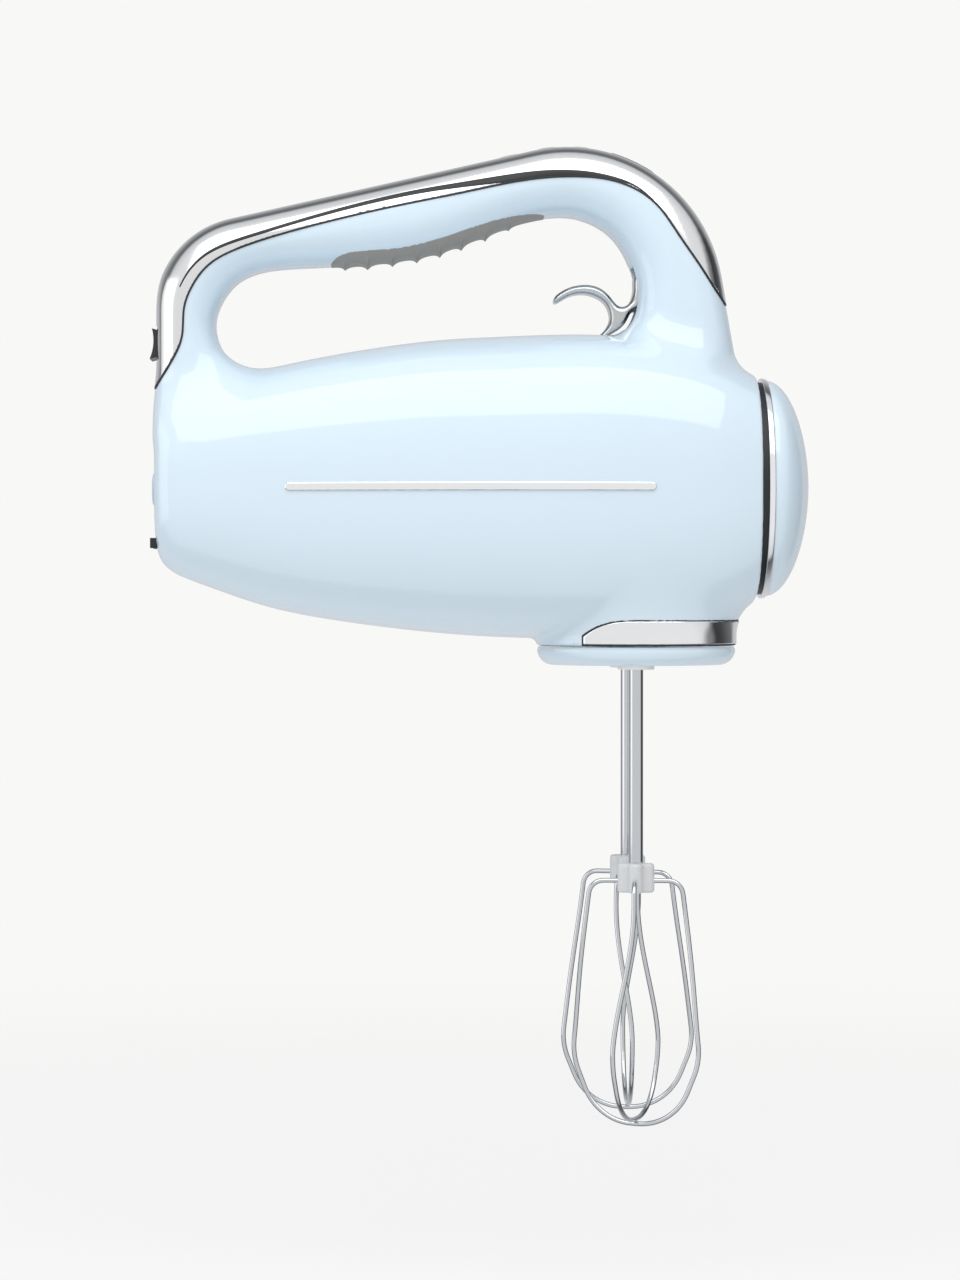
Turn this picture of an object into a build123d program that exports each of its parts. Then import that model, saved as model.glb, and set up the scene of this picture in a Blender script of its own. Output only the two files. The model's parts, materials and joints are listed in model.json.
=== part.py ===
from build123d import *
import os
from math import cos, pi, radians, sin

# Hand mixer with a ring handle, worm gear drive and two four-wire beaters.
# Millimetres. Origin at the centre of the grip, +X to the nose, +Z up, +Y to the right side.

# ---- driving dimensions -------------------------------------------------------------------
WALL = 2.6                      # moulded housing wall
TRIM = 1.4                      # thickness of the metal trim on the handle
HANDLE_HALF = 16.5              # half the width of the handle
HANDLE_ROUND = 8.0              # rounding of the handle's outer edges
CAVITY_HALF = 11.5              # half the width of the hollow inside the handle
REAR_X = -98.0
NOSE_X = 110.0                  # front edge of the two housing halves
GASKET, RING = 2.0, 3.0         # thickness along X of the nose gasket and the nose ring
NOSE_Z, NOSE_HALF_Z, NOSE_HALF_Y = -95.1, 38.4, 33.0
DOME_LENGTH = 14.6              # semi-axis of the nose dome along X
COLLAR_X, COLLAR_RX, COLLAR_RY = 69.3, 34.5, 37.0
COLLAR_Z, COVER_Z = -150.0, -156.5
BAND_LOW, BAND_HIGH, BAND_REAR_X = -149.2, -141.2, 49.2
MOTOR_Z = -98.0                 # height of the motor's axis, which lies along X at Y = 0
SHAFT_R = 3.2
CORE_X = (-40.0, 0.0)           # lamination stack
ARMATURE_R, BORE_R = 16.4, 17.0
SPINDLE_X, SPINDLE_Y = 67.8, 19.0
SPINDLE_R, SOCKET_R = 5.0, 2.85
SPINDLE_LOW, SPINDLE_HIGH = -157.2, -84.0
WHEEL_TEETH = 30
WHEEL_PITCH_R, WHEEL_TIP_R, WHEEL_ROOT_R = 14.7, 15.4, 13.6
WORM_TIP_R = 5.0
LEAD = 2 * pi * WHEEL_PITCH_R / WHEEL_TEETH
TOOTH = 0.85
BEATER_R = 2.5
BEATER_TOP, HUB_HIGH, HUB_LOW = -112.0, -224.2, -234.3
WIRE_R, WIRE_Z, CAGE_R, CAGE_LOW = 0.8, -230.2, 21.9, -313.7
NEAR_BEATER_TURN = -24.5        # degrees that the left beater is turned by at rest
PIVOT_X, PIVOT_Z, PIVOT_R = 76.0, -32.0, 1.5
TRIGGER_HALF = 6.0
ROD_X = 91.5
PLATE_Z = (-69.0, -66.0)        # ejector plate, bottom and top
BUTTONS = {"turbo_button": (24.5, 19.4), "speed_down_button": (38.0, 21.9), "speed_up_button": (50.0, 22.2)}
BUTTON_R = 4.5
ROCKER_X, ROCKER_Z, ROCKER_HALF_Y, ROCKER_HALF_Z = -94.0, -45.65, 7.0, 5.25
ROCKER_PIN_R, ROCKER_LUG_Y = 1.2, 9.3
GLAND_Z = -95.7
FOOT_Y, FOOT_Z = 8.5, -114.4

# Barrel sections from rear to nose: X, top, bottom, half width
BARREL = [
    (REAR_X, -65, -122, 25),
    (-62, -55.5, -135, 35),
    (-20, -46.5, -142.8, 42),
    (30, -42.5, -147, 45),
    (70, -43, -146.5, 43.5),
    (95, -49, -141.5, 38),
    (NOSE_X, -56.6, -133.5, NOSE_HALF_Y),
]
# Top of the handle, finger opening, and lower edge of the trim, all in the plane of the handle
HANDLE_CORNERS = [(106.2, -66), (88.9, 34.4), (REAR_X, -7.9), (REAR_X, -78)]
HANDLE_BENDS = [54, 31]
FINGER_OPENING = [
    (-76, -37), (-70.5, -25.5), (-58, -20.3), (-39, -19), (-13, -16.3), (5, -12.3), (25, -4.8),
    (43, -1.3), (57, -5.2), (66, -17), (68.8, -28), (66.5, -36.5), (57, -43.2), (30, -43.2),
    (-20, -47), (-50, -52.8), (-64, -53.6), (-73, -48),
]
TRIM_CORNERS = [(-104.0, -66.9), (-88.6, -45.3), (-88.4, -13), (68.6, 20.6), (108, -48.3)]
TRIM_BENDS = [12, 26, 45]
SEAL_WIDTH = 1.0
GRIP_TOP = [
    (-37.5, -16.5), (-31.5, -13.4), (-19.4, -10.8), (-5.6, -8.7), (8.3, -4.5), (20.5, -0.5), (39.2, 1.4),
]
GRIP_TIPS = [
    (-32, -20.4), (-24.1, -19.8), (-15.4, -18.4), (-7, -16.8), (1, -15), (8.5, -12.5), (16.9, -9),
    (25, -6), (34.1, -3.3),
]

os.makedirs("parts", exist_ok=True)


def save(part, name):
    """Label a finished piece and write its STEP file."""
    part.label = name
    export_step(part, f"parts/{name}.step")


# ---- forms that several pieces share --------------------------------------------------------
def barrel_form(inset):
    """The barrel, made smaller all round by inset."""
    with BuildPart() as form:
        for x, top, bottom, half in BARREL:
            with BuildSketch(Plane.YZ.offset(x)):
                with Locations((0, (top + bottom) / 2)):
                    Ellipse(half - inset, (top - bottom) / 2 - inset)
        loft()
    return form.part


def opening_points(grown):
    """Points of the finger opening, moved out square to its edge by grown."""
    edge = Spline(*FINGER_OPENING, periodic=True, mode=Mode.PRIVATE)
    points = []
    for step in range(24):
        at, along = edge @ (step / 24), edge % (step / 24)
        points.append((at.X - along.Y * grown, at.Y + along.X * grown))
    return points


def handle_form(inset, half, rounding):
    """The ring handle, made thinner all round by inset and half wide each side of Y = 0."""
    with BuildPart() as form:
        with BuildSketch(Plane.XZ.offset(-half)):
            with BuildSketch(mode=Mode.PRIVATE) as outside:
                with BuildLine():
                    FilletPolyline(*HANDLE_CORNERS, radius=HANDLE_BENDS)
                    Line(HANDLE_CORNERS[-1], HANDLE_CORNERS[0])
                make_face()
            add(offset(outside.sketch, -inset, mode=Mode.PRIVATE) if inset else outside.sketch)
            with BuildLine():
                Spline(*opening_points(inset), periodic=True)
            make_face(mode=Mode.SUBTRACT)
        extrude(amount=2 * half)
        if rounding:
            fillet(form.edges().filter_by(lambda e: abs(abs(e.center().Y) - half) < 0.01), rounding)
    return form.part


def collar_form(inset, low, high):
    """The oval collar over the beater sockets."""
    with BuildPart() as form:
        with BuildSketch(Plane.XY.offset(low)):
            with Locations((COLLAR_X, 0)):
                Ellipse(COLLAR_RX - inset, COLLAR_RY - inset)
        extrude(amount=high - low)
    return form.part


def above_trim_edge(drop):
    """A slab along Y that holds all above the trim's lower edge, lowered by drop."""
    corners = [(x + drop / 4, z - drop) for x, z in TRIM_CORNERS]
    with BuildPart() as form:
        with BuildSketch(Plane.XZ.offset(-25)):
            with BuildLine():
                FilletPolyline(*corners, radius=TRIM_BENDS)
                Polyline(corners[-1], (120, corners[-1][1]), (120, 45), (-115, 45),
                         (-115, corners[0][1]), corners[0])
            make_face()
        extrude(amount=50)
    return form.part


def block(low, high):
    """A plain box between two corners."""
    with BuildPart() as form:
        with Locations([((low[0] + high[0]) / 2, (low[1] + high[1]) / 2, (low[2] + high[2]) / 2)]):
            Box(high[0] - low[0], high[1] - low[1], high[2] - low[2])
    return form.part


def rod(x, y, low, high, radius):
    """An upright cylinder."""
    with BuildPart() as form:
        with BuildSketch(Plane.XY.offset(low)):
            with Locations((x, y)):
                Circle(radius)
        extrude(amount=high - low)
    return form.part


def axle(start, end, radius, bore=0):
    """A cylinder or tube on the motor's axis, from X = start to X = end."""
    with BuildPart() as form:
        with BuildSketch(Plane.YZ.offset(start)):
            with Locations((0, MOTOR_Z)):
                Circle(radius)
                if bore:
                    Circle(bore, mode=Mode.SUBTRACT)
        extrude(amount=end - start)
    return form.part


def grip_form():
    """Rubber pad under the handle, with nine scalloped finger bumps."""
    with BuildPart() as form:
        with BuildSketch(Plane.XZ.offset(-(HANDLE_HALF + 0.2))):
            with BuildLine():
                Spline(*GRIP_TOP)
                last = (39.2, -0.6)
                Line(GRIP_TOP[-1], last)
                for tip in reversed(GRIP_TIPS):
                    middle = ((last[0] + tip[0]) / 2, (last[1] + tip[1]) / 2 + 1.2)
                    ThreePointArc(last, middle, tip)
                    last = tip
                ThreePointArc(last, (-35, -18.6), (-37.5, -18.4))
                Line((-37.5, -18.4), GRIP_TOP[0])
            make_face()
        extrude(amount=2 * (HANDLE_HALF + 0.2))
    return form.part


barrel = barrel_form(0)
barrel_inside = barrel_form(WALL)
handle = handle_form(0, HANDLE_HALF, HANDLE_ROUND)
handle_skin_inside = handle_form(TRIM, HANDLE_HALF - TRIM, HANDLE_ROUND - TRIM)
handle_inside = handle_form(WALL, CAVITY_HALF, 0)
trim_side = above_trim_edge(0)
seal_side = above_trim_edge(SEAL_WIDTH)
grip = grip_form()
trigger_slot = block((52, -7, -50), (73, 7, -17.5))
rocker_hole = block((-100, -ROCKER_HALF_Y - 0.7, ROCKER_Z - ROCKER_HALF_Z - 0.9),
                    (-91, ROCKER_HALF_Y + 0.7, ROCKER_Z + ROCKER_HALF_Z + 0.9))


# ---- housing --------------------------------------------------------------------------------
def ribs():
    """Frames moulded inside the housing that carry the motor brackets and the gearbox plate."""
    with BuildPart() as form:
        for x, radius in ((-69.5, 24), (24.5, 26)):
            with BuildSketch(Plane.YZ.offset(x)):
                with Locations((0, NOSE_Z)):
                    Rectangle(100, 110)
                with Locations((0, MOTOR_Z)):
                    Circle(radius, mode=Mode.SUBTRACT)
            extrude(amount=3)
        for side in (-1, 1):
            with Locations((68, side * 39, -114)):
                Box(40, 14, 3)
        add(barrel_form(WALL - 0.4), mode=Mode.INTERSECT)
    return form.part


SCREWS = [(-84, -108), (-84, -72), (36, -134), (100, -124), (-60, -10)]
SCREW_HEAD_Y, SCREW_R, SCREW_HEAD_R, BOSS_R = 14.0, 1.6, 3.0, 4.2


def across(x, z, start, end, radius):
    """A cylinder along Y, from Y = start to Y = end."""
    with BuildPart() as form:
        with BuildSketch(Plane.XZ.offset(-end)):
            with Locations((x, z)):
                Circle(radius)
        extrude(amount=end - start)
    return form.part


def rocker_lugs():
    """Two lugs inside the rear of the handle that carry the rocker's pins."""
    with BuildPart() as form:
        for side in (-1, 1):
            with Locations((ROCKER_X, side * ROCKER_LUG_Y, ROCKER_Z)):
                Box(6, 2.6, 6)
        add(across(ROCKER_X, ROCKER_Z, -20, 20, ROCKER_PIN_R + 0.2), mode=Mode.SUBTRACT)
    return form.part


def feet():
    """The two rear feet."""
    with BuildPart() as form:
        for side in (-1, 1):
            with Locations((REAR_X + 0.4, side * FOOT_Y, FOOT_Z)):
                Box(2.2, 9, 3.4)
    return form.part


def rear_gland_hole():
    with BuildPart() as form:
        with BuildSketch(Plane.YZ.offset(REAR_X - 1)):
            with Locations((0, GLAND_Z)):
                Circle(5.8)
        extrude(amount=7)
    return form.part


def housing_whole():
    with BuildPart() as form:
        add(barrel)
        add(handle)
        add(collar_form(0, COLLAR_Z, -112))
        add(barrel_inside.split(Plane.YZ.offset(REAR_X + WALL), keep=Keep.TOP), mode=Mode.SUBTRACT)
        add(handle_inside, mode=Mode.SUBTRACT)
        add(collar_form(WALL, COLLAR_Z - 1, -120), mode=Mode.SUBTRACT)
        add(ribs())
        for x, z in SCREWS:
            add(across(x, z, -11.6, 11.6, BOSS_R))
        for x, z in SCREWS:
            add(across(x, z, -9, 60, SCREW_R), mode=Mode.SUBTRACT)
            add(across(x, z, SCREW_HEAD_Y - 3, 60, SCREW_HEAD_R), mode=Mode.SUBTRACT)
        add(trigger_slot, mode=Mode.SUBTRACT)
        add(rocker_hole, mode=Mode.SUBTRACT)
        add(handle_form(0, 25, 0).intersect(seal_side) - handle_skin_inside, mode=Mode.SUBTRACT)
        add(grip, mode=Mode.SUBTRACT)
        add(rear_gland_hole(), mode=Mode.SUBTRACT)
        add(feet(), mode=Mode.SUBTRACT)
        add(rocker_lugs())
    return form.part


def main_solid(part):
    """The largest solid of a part, without any loose slivers from trimming."""
    return part.solids().sort_by(SortBy.VOLUME)[-1]


def trimmed(part, low, high):
    """The stretch of a part inside a box."""
    return part.intersect(block(low, high))


button_holes = [rod(x, 0, z - 12, z + 9, BUTTON_R + 0.4) for x, z in BUTTONS.values()]
display_box = block((60, -6, 5), (75, 6, 30))


def make_housing():
    whole = housing_whole()
    for hole in button_holes:
        whole = whole - hole
    for name, side in (("left_housing", -1), ("right_housing", 1)):
        with BuildPart() as half:
            half_space = block((-120, min(0, side * 80), -180), (120, max(0, side * 80), 60))
            add(main_solid(whole.intersect(half_space)))
        save(half.part, name)


def make_trim():
    """Metal skin over the top of the handle, with the display let into it and a dark seal below."""
    skin = handle - handle_skin_inside
    with BuildPart() as trim:
        add(skin.intersect(trim_side))
        add(rocker_hole, mode=Mode.SUBTRACT)
        add(display_box, mode=Mode.SUBTRACT)
        for hole in button_holes:
            add(hole, mode=Mode.SUBTRACT)
    save(main_solid(trim.part), "top_trim")
    with BuildPart() as seal:
        add(skin.intersect(seal_side))
        add(trim_side, mode=Mode.SUBTRACT)
        add(rocker_hole, mode=Mode.SUBTRACT)
    save(seal.part, "trim_seal")
    with BuildPart() as window:
        add(skin.intersect(display_box))
    save(main_solid(window.part), "display_window")


def make_grip():
    with BuildPart() as insert:
        add(grip)
        add(handle_inside, mode=Mode.SUBTRACT)
    save(main_solid(insert.part), "grip_insert")


# ---- nose -----------------------------------------------------------------------------------
def nose_disc(start, thick, inset, rim):
    with BuildPart() as disc:
        with BuildSketch(Plane.YZ.offset(start)):
            with Locations((0, NOSE_Z)):
                Ellipse(NOSE_HALF_Y - inset, NOSE_HALF_Z - inset)
                Ellipse(NOSE_HALF_Y - rim, NOSE_HALF_Z - rim, mode=Mode.SUBTRACT)
        extrude(amount=thick)
    return disc.part


def dome(inset):
    """Half an ellipsoid, blunt towards the nose."""
    centre = NOSE_X + GASKET + RING - 1.5
    unit = Sphere(1, mode=Mode.PRIVATE)
    axes = (DOME_LENGTH - inset, NOSE_HALF_Y - 1 - inset, NOSE_HALF_Z - 1 - inset)
    sized = scale(unit, by=axes, mode=Mode.PRIVATE)
    front = NOSE_X + GASKET + RING
    return Pos(centre, 0, NOSE_Z) * sized & block((front, -60, -160), (front + 40, 60, 0))


def make_nose():
    save(nose_disc(NOSE_X, GASKET, 0.9, 6), "nose_gasket")
    ring = nose_disc(NOSE_X + GASKET, RING, 0, 6)
    with BuildPart() as rounded:
        add(ring)
        fillet(rounded.edges().filter_by(lambda e: e.length > 215), 1.0)
    save(rounded.part, "nose_ring")
    with BuildPart() as cap:
        add(dome(0))
        add(dome(WALL), mode=Mode.SUBTRACT)
    save(main_solid(cap.part), "nose_cap")


# ---- collar ---------------------------------------------------------------------------------
def make_collar():
    with BuildPart() as band:
        add(collar_form(-0.5, BAND_LOW, BAND_HIGH))
        add(collar_form(0, BAND_LOW, BAND_HIGH), mode=Mode.SUBTRACT)
        add(block((BAND_REAR_X, -50, BAND_LOW), (120, 50, BAND_HIGH)), mode=Mode.INTERSECT)
        add(barrel, mode=Mode.SUBTRACT)
    save(main_solid(band.part), "collar_band")
    with BuildPart() as cover:
        add(collar_form(0, COVER_Z, COLLAR_Z))
        fillet(cover.faces().sort_by(Axis.Z)[0].edges(), 5)
        add(collar_form(WALL + 0.6, COVER_Z + WALL, COLLAR_Z), mode=Mode.SUBTRACT)
        for side in (-1, 1):
            add(rod(SPINDLE_X, side * SPINDLE_Y, COVER_Z + WALL / 2, COLLAR_Z, 9))
        for side in (-1, 1):
            add(rod(SPINDLE_X, side * SPINDLE_Y, COVER_Z - 1, COLLAR_Z + 1, 6.2), mode=Mode.SUBTRACT)
    save(cover.part, "bottom_cover")
    with BuildPart() as bushes:
        for side in (-1, 1):
            add(rod(SPINDLE_X, side * SPINDLE_Y, SPINDLE_LOW - 0.6, COLLAR_Z + 4, 6.2))
            add(rod(SPINDLE_X, side * SPINDLE_Y, COLLAR_Z, COLLAR_Z + 1.5, 8))
            add(rod(SPINDLE_X, side * SPINDLE_Y, -91.5, -86, 8))
        for side in (-1, 1):
            add(rod(SPINDLE_X, side * SPINDLE_Y, -170, -80, SPINDLE_R + 0.06), mode=Mode.SUBTRACT)
    save(bushes.part, "spindle_bushes")


# ---- motor ----------------------------------------------------------------------------------
def rounded_slab(start, end, half_y, half_z, corner):
    with BuildPart() as slab:
        with BuildSketch(Plane.YZ.offset(start)):
            with Locations((0, MOTOR_Z)):
                RectangleRounded(2 * half_y, 2 * half_z, corner)
        extrude(amount=end - start)
    return slab.part


COIL_IN, COIL_OUT = 11.0, 18.0          # coil legs, from Y = COIL_IN to Y = COIL_OUT
COIL_LOW, COIL_HIGH = 18.0, 24.0        # distance of a coil from the motor's axis
COIL_END = 8.0                          # how far a coil stands out of the stack


def coil_ring(side):
    low, high = sorted((MOTOR_Z + side * COIL_LOW, MOTOR_Z + side * COIL_HIGH))
    with BuildPart() as coil:
        with BuildSketch(Plane.XY.offset(low)):
            with Locations(((CORE_X[0] + CORE_X[1]) / 2, 0)):
                RectangleRounded(CORE_X[1] - CORE_X[0] + 2 * COIL_END, 2 * COIL_OUT, 7)
                Rectangle(CORE_X[1] - CORE_X[0] + 1, 2 * COIL_IN, mode=Mode.SUBTRACT)
        extrude(amount=high - low)
    return coil.part


def make_stator():
    with BuildPart() as core:
        add(rounded_slab(*CORE_X, 27, 27, 9))
        add(axle(*CORE_X, BORE_R), mode=Mode.SUBTRACT)
        for up in (-1, 1):
            for side in (-1, 1):
                corner_a = (CORE_X[0] - 1, side * COIL_IN, MOTOR_Z + up * 12)
                corner_b = (CORE_X[1] + 1, side * COIL_OUT, MOTOR_Z + up * COIL_HIGH)
                low = tuple(min(a, b) for a, b in zip(corner_a, corner_b))
                high = tuple(max(a, b) for a, b in zip(corner_a, corner_b))
                add(block(low, high), mode=Mode.SUBTRACT)
    save(core.part, "stator_core")
    with BuildPart() as coils:
        add(coil_ring(-1))
        add(coil_ring(1))
    save(coils.part, "stator_windings")


def make_brackets():
    """End brackets, each a plate with a bearing seat, that hold the motor in the housing's frames."""
    for name, start, radius in (("rear_bracket", -69.5, 24), ("front_bracket", 24.5, 26)):
        with BuildPart() as bracket:
            add(axle(start, start + 3, radius))
            add(axle(start - 2, start + 5, 9))
            add(axle(start - 3, start + 6, 6), mode=Mode.SUBTRACT)
            for turn in range(6):
                angle = radians(60 * turn)
                y, z = 16.5 * cos(angle), MOTOR_Z + 16.5 * sin(angle)
                with BuildSketch(Plane.YZ.offset(start - 1)):
                    with Locations((y, z)):
                        Circle(4)
                extrude(amount=6, mode=Mode.SUBTRACT)
        save(bracket.part, name)
    with BuildPart() as bearings:
        for start in (-71.5, 22.5):
            add(axle(start, start + 7, 6, SHAFT_R + 0.04))
    save(bearings.part, "motor_bearings")
    with BuildPart() as holders:
        for side in (-1, 1):
            with Locations((-52.5, side * 18, MOTOR_Z)):
                Box(12, 14, 10)
                Box(8, 14, 6, mode=Mode.SUBTRACT)
            with Locations((-62.5, side * 21, MOTOR_Z)):
                Box(8, 4, 10)
    save(holders.part, "brush_holders")
    with BuildPart() as brushes:
        for side in (-1, 1):
            with Locations((-52.5, side * 15.7, MOTOR_Z)):
                Box(8, 12, 6)
    save(brushes.part, "carbon_brushes")


def make_rotor():
    with BuildPart() as core:
        add(axle(*CORE_X, ARMATURE_R, SHAFT_R))
        with BuildSketch(Plane.YZ.offset(CORE_X[0] - 1)):
            with Locations((0, MOTOR_Z)):
                with PolarLocations(13, 12):
                    Circle(1.9)
        extrude(amount=CORE_X[1] - CORE_X[0] + 2, mode=Mode.SUBTRACT)
    save(core.part, "armature_core")
    with BuildPart() as winding:
        add(axle(CORE_X[0] - 5, CORE_X[0], 15, SHAFT_R + 1.5))
        add(axle(CORE_X[1], CORE_X[1] + 5, 15, SHAFT_R + 1.5))
        with BuildSketch(Plane.YZ.offset(CORE_X[0])):
            with Locations((0, MOTOR_Z)):
                with PolarLocations(13, 12):
                    Circle(1.9)
        extrude(amount=CORE_X[1] - CORE_X[0])
        rims = winding.edges().filter_by(lambda e: e.length > 90)
        fillet([rims.sort_by(Axis.X)[0], rims.sort_by(Axis.X)[-1]], 2)
    save(winding.part, "armature_winding")
    with BuildPart() as segments:
        add(axle(-58, -47, 9, SHAFT_R))
        for turn in range(12):
            with BuildSketch(Plane.YZ.offset(-58.5)):
                with Locations((0, MOTOR_Z)):
                    with PolarLocations(9, 1, start_angle=30 * turn + 15):
                        Rectangle(1.6, 0.5)
            extrude(amount=10, mode=Mode.SUBTRACT)
    save(segments.part, "commutator")
    with BuildPart() as fan:
        add(axle(11, 13, 23, SHAFT_R))
        add(axle(13, 19, 6, SHAFT_R))
        for turn in range(11):
            angle = 360 / 11 * turn
            with BuildSketch(Plane.YZ.offset(13)):
                with Locations((0, MOTOR_Z)):
                    with PolarLocations(15, 1, start_angle=angle):
                        Rectangle(14, 1.2, rotation=18)
            extrude(amount=6)
    save(fan.part, "cooling_fan")
    worm_start = SPINDLE_X + LEAD / 2 - 6 * LEAD
    worm_plane = Plane(origin=(worm_start, 0, MOTOR_Z), x_dir=(0, 1, 0), z_dir=(1, 0, 0))
    root_r = SHAFT_R - 0.2
    with BuildPart() as thread:
        with BuildLine():
            path = Helix(LEAD, 11 * LEAD, root_r)
        with BuildSketch(Plane(origin=path @ 0, x_dir=(1, 0, 0), z_dir=path % 0)):
            with Locations(((WORM_TIP_R - root_r) / 2, 0)):
                Rectangle(WORM_TIP_R - root_r, TOOTH)
        sweep(path=path, is_frenet=True)
    thread_in_place = worm_plane.location * thread.part
    with BuildPart() as shaft:
        add(axle(-74, 96, SHAFT_R))
        add(thread_in_place)
    save(shaft.part, "motor_shaft")


# ---- gearbox and ejector ----------------------------------------------------------------------
def gear_plate(low, high, half_y, hole):
    with BuildPart() as plate:
        with BuildSketch(Plane.XY.offset(low)):
            with Locations((68, 0)):
                RectangleRounded(44, 2 * half_y, 4)
            with Locations((SPINDLE_X, -SPINDLE_Y), (SPINDLE_X, SPINDLE_Y)):
                Circle(hole, mode=Mode.SUBTRACT)
        extrude(amount=high - low)
    return plate.part


SPRING_R, SPRING_WIRE, SPRING_TURNS = 5.0, 0.6, 5
COVER_TOP = -86.0


def make_gearbox():
    with BuildPart() as base:
        add(gear_plate(-112.5, -109.5, 34, 8.2))
        for x in (48.5, 87.5):
            for side in (-1, 1):
                add(rod(x, side * 31.5, -109.5, -90, 2.2))
        for x in (48.5, 87.5):
            with Locations((x, 0, -106)):
                Box(3, 16, 7.0)
    save(base.part, "gearbox_base")
    with BuildPart() as cover:
        add(gear_plate(-90, COVER_TOP - 1, 34, 8))
        add(rod(SPINDLE_X, 0, COVER_TOP - 1, -78, 3))
        add(rod(SPINDLE_X, 0, COVER_TOP - 1, COVER_TOP, 8))
    save(cover.part, "gearbox_cover")
    rise = PLATE_Z[0] - 0.6 - (COVER_TOP + SPRING_WIRE)
    with BuildPart() as spring:
        with BuildLine():
            path = Helix(rise / SPRING_TURNS, rise, SPRING_R, center=(SPINDLE_X, 0, COVER_TOP + SPRING_WIRE))
        with BuildSketch(Plane(origin=path @ 0, z_dir=path % 0)):
            Circle(SPRING_WIRE)
        sweep(path=path, is_frenet=True)
    save(spring.part, "ejector_spring")
    with BuildPart() as plate:
        with BuildSketch(Plane.XY.offset(PLATE_Z[0])):
            with Locations((76, 0)):
                RectangleRounded(40, 52, 5)
        extrude(amount=PLATE_Z[1] - PLATE_Z[0])
        add(rod(ROD_X, 0, PLATE_Z[1], -40.9, 2.5))
    save(plate.part, "ejector_plate")


def make_spindle(name, side):
    y = side * SPINDLE_Y
    with BuildPart() as tube:
        add(rod(SPINDLE_X, y, SPINDLE_LOW, SPINDLE_HIGH, SPINDLE_R))
        add(rod(SPINDLE_X, y, SPINDLE_LOW - 1, SPINDLE_HIGH + 1, SOCKET_R), mode=Mode.SUBTRACT)
    save(tube.part, f"spindle_{name}")
    facing = -90 * side                     # the side of the wheel that meets the worm
    phase = 0 if side > 0 else 180 / WHEEL_TEETH
    with BuildPart() as wheel:
        with BuildSketch(Plane.XY.offset(MOTOR_Z - 3)):
            with Locations((SPINDLE_X, y)):
                Circle(WHEEL_ROOT_R)
                reach = (WHEEL_ROOT_R + WHEEL_TIP_R) / 2 - 0.2
                with PolarLocations(reach, WHEEL_TEETH, start_angle=facing + phase):
                    Rectangle(WHEEL_TIP_R - WHEEL_ROOT_R + 0.4, TOOTH)
                Circle(SPINDLE_R, mode=Mode.SUBTRACT)
        extrude(amount=6)
    save(wheel.part, f"worm_wheel_{name}")
    with BuildPart() as pin:
        add(rod(SPINDLE_X, y, BEATER_TOP + 0.4, -72, BEATER_R))
        add(rod(SPINDLE_X, y, -72.5, PLATE_Z[0] - 0.4, 4.2))
    save(pin.part, f"knockout_pin_{name}")


# ---- beaters ----------------------------------------------------------------------------------
def cage_loop(x, y, turn, low):
    """One wire, bent from the hub out, down, round and back to the hub."""
    with BuildPart() as wire:
        plane = Plane(origin=(x, y, 0), x_dir=(cos(radians(turn)), sin(radians(turn)), 0),
                      z_dir=(sin(radians(turn)), -cos(radians(turn)), 0))
        right = [(4.6, WIRE_Z), (11.2, WIRE_Z), (CAGE_R + 1, -289.5), (14.5, low)]
        left = [(-across_x, z) for across_x, z in reversed(right)]
        with BuildLine(plane):
            path = FilletPolyline(*right, *left, radius=[4.5, 30, 19, 19, 30, 4.5])
        with BuildSketch(Plane(origin=path @ 0, z_dir=path % 0)):
            Circle(WIRE_R)
        sweep(path=path)
    return wire.part


def make_beater(name, side, turn):
    y = side * SPINDLE_Y
    with BuildPart() as shaft:
        add(rod(SPINDLE_X, y, HUB_LOW, BEATER_TOP, BEATER_R))
        with Locations((SPINDLE_X, y, BEATER_TOP - 12)):
            Torus(BEATER_R + 0.5, 0.9, mode=Mode.SUBTRACT)
        chamfer(shaft.faces().sort_by(Axis.Z)[-1].edges(), 0.8)
    save(shaft.part, f"beater_shaft_{name}")
    with BuildPart() as wires:
        add(cage_loop(SPINDLE_X, y, turn, CAGE_LOW))
        add(cage_loop(SPINDLE_X, y, turn + 90, CAGE_LOW + 1.7))
    save(wires.part, f"beater_wires_{name}")
    with BuildPart() as hub:
        with BuildSketch(Plane.XY.offset(HUB_LOW)):
            with Locations((SPINDLE_X, y)):
                Circle(4.4)
                with PolarLocations(3.9, 4, start_angle=turn):
                    Circle(2.4)
        extrude(amount=HUB_HIGH - HUB_LOW)
        fillet(hub.edges().group_by(Axis.Z)[-1] + hub.edges().group_by(Axis.Z)[0], 0.6)
        add(rod(SPINDLE_X, y, HUB_LOW - 1, HUB_HIGH + 1, BEATER_R), mode=Mode.SUBTRACT)
        add(wires.part, mode=Mode.SUBTRACT)
    save(hub.part, f"beater_hub_{name}")


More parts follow.
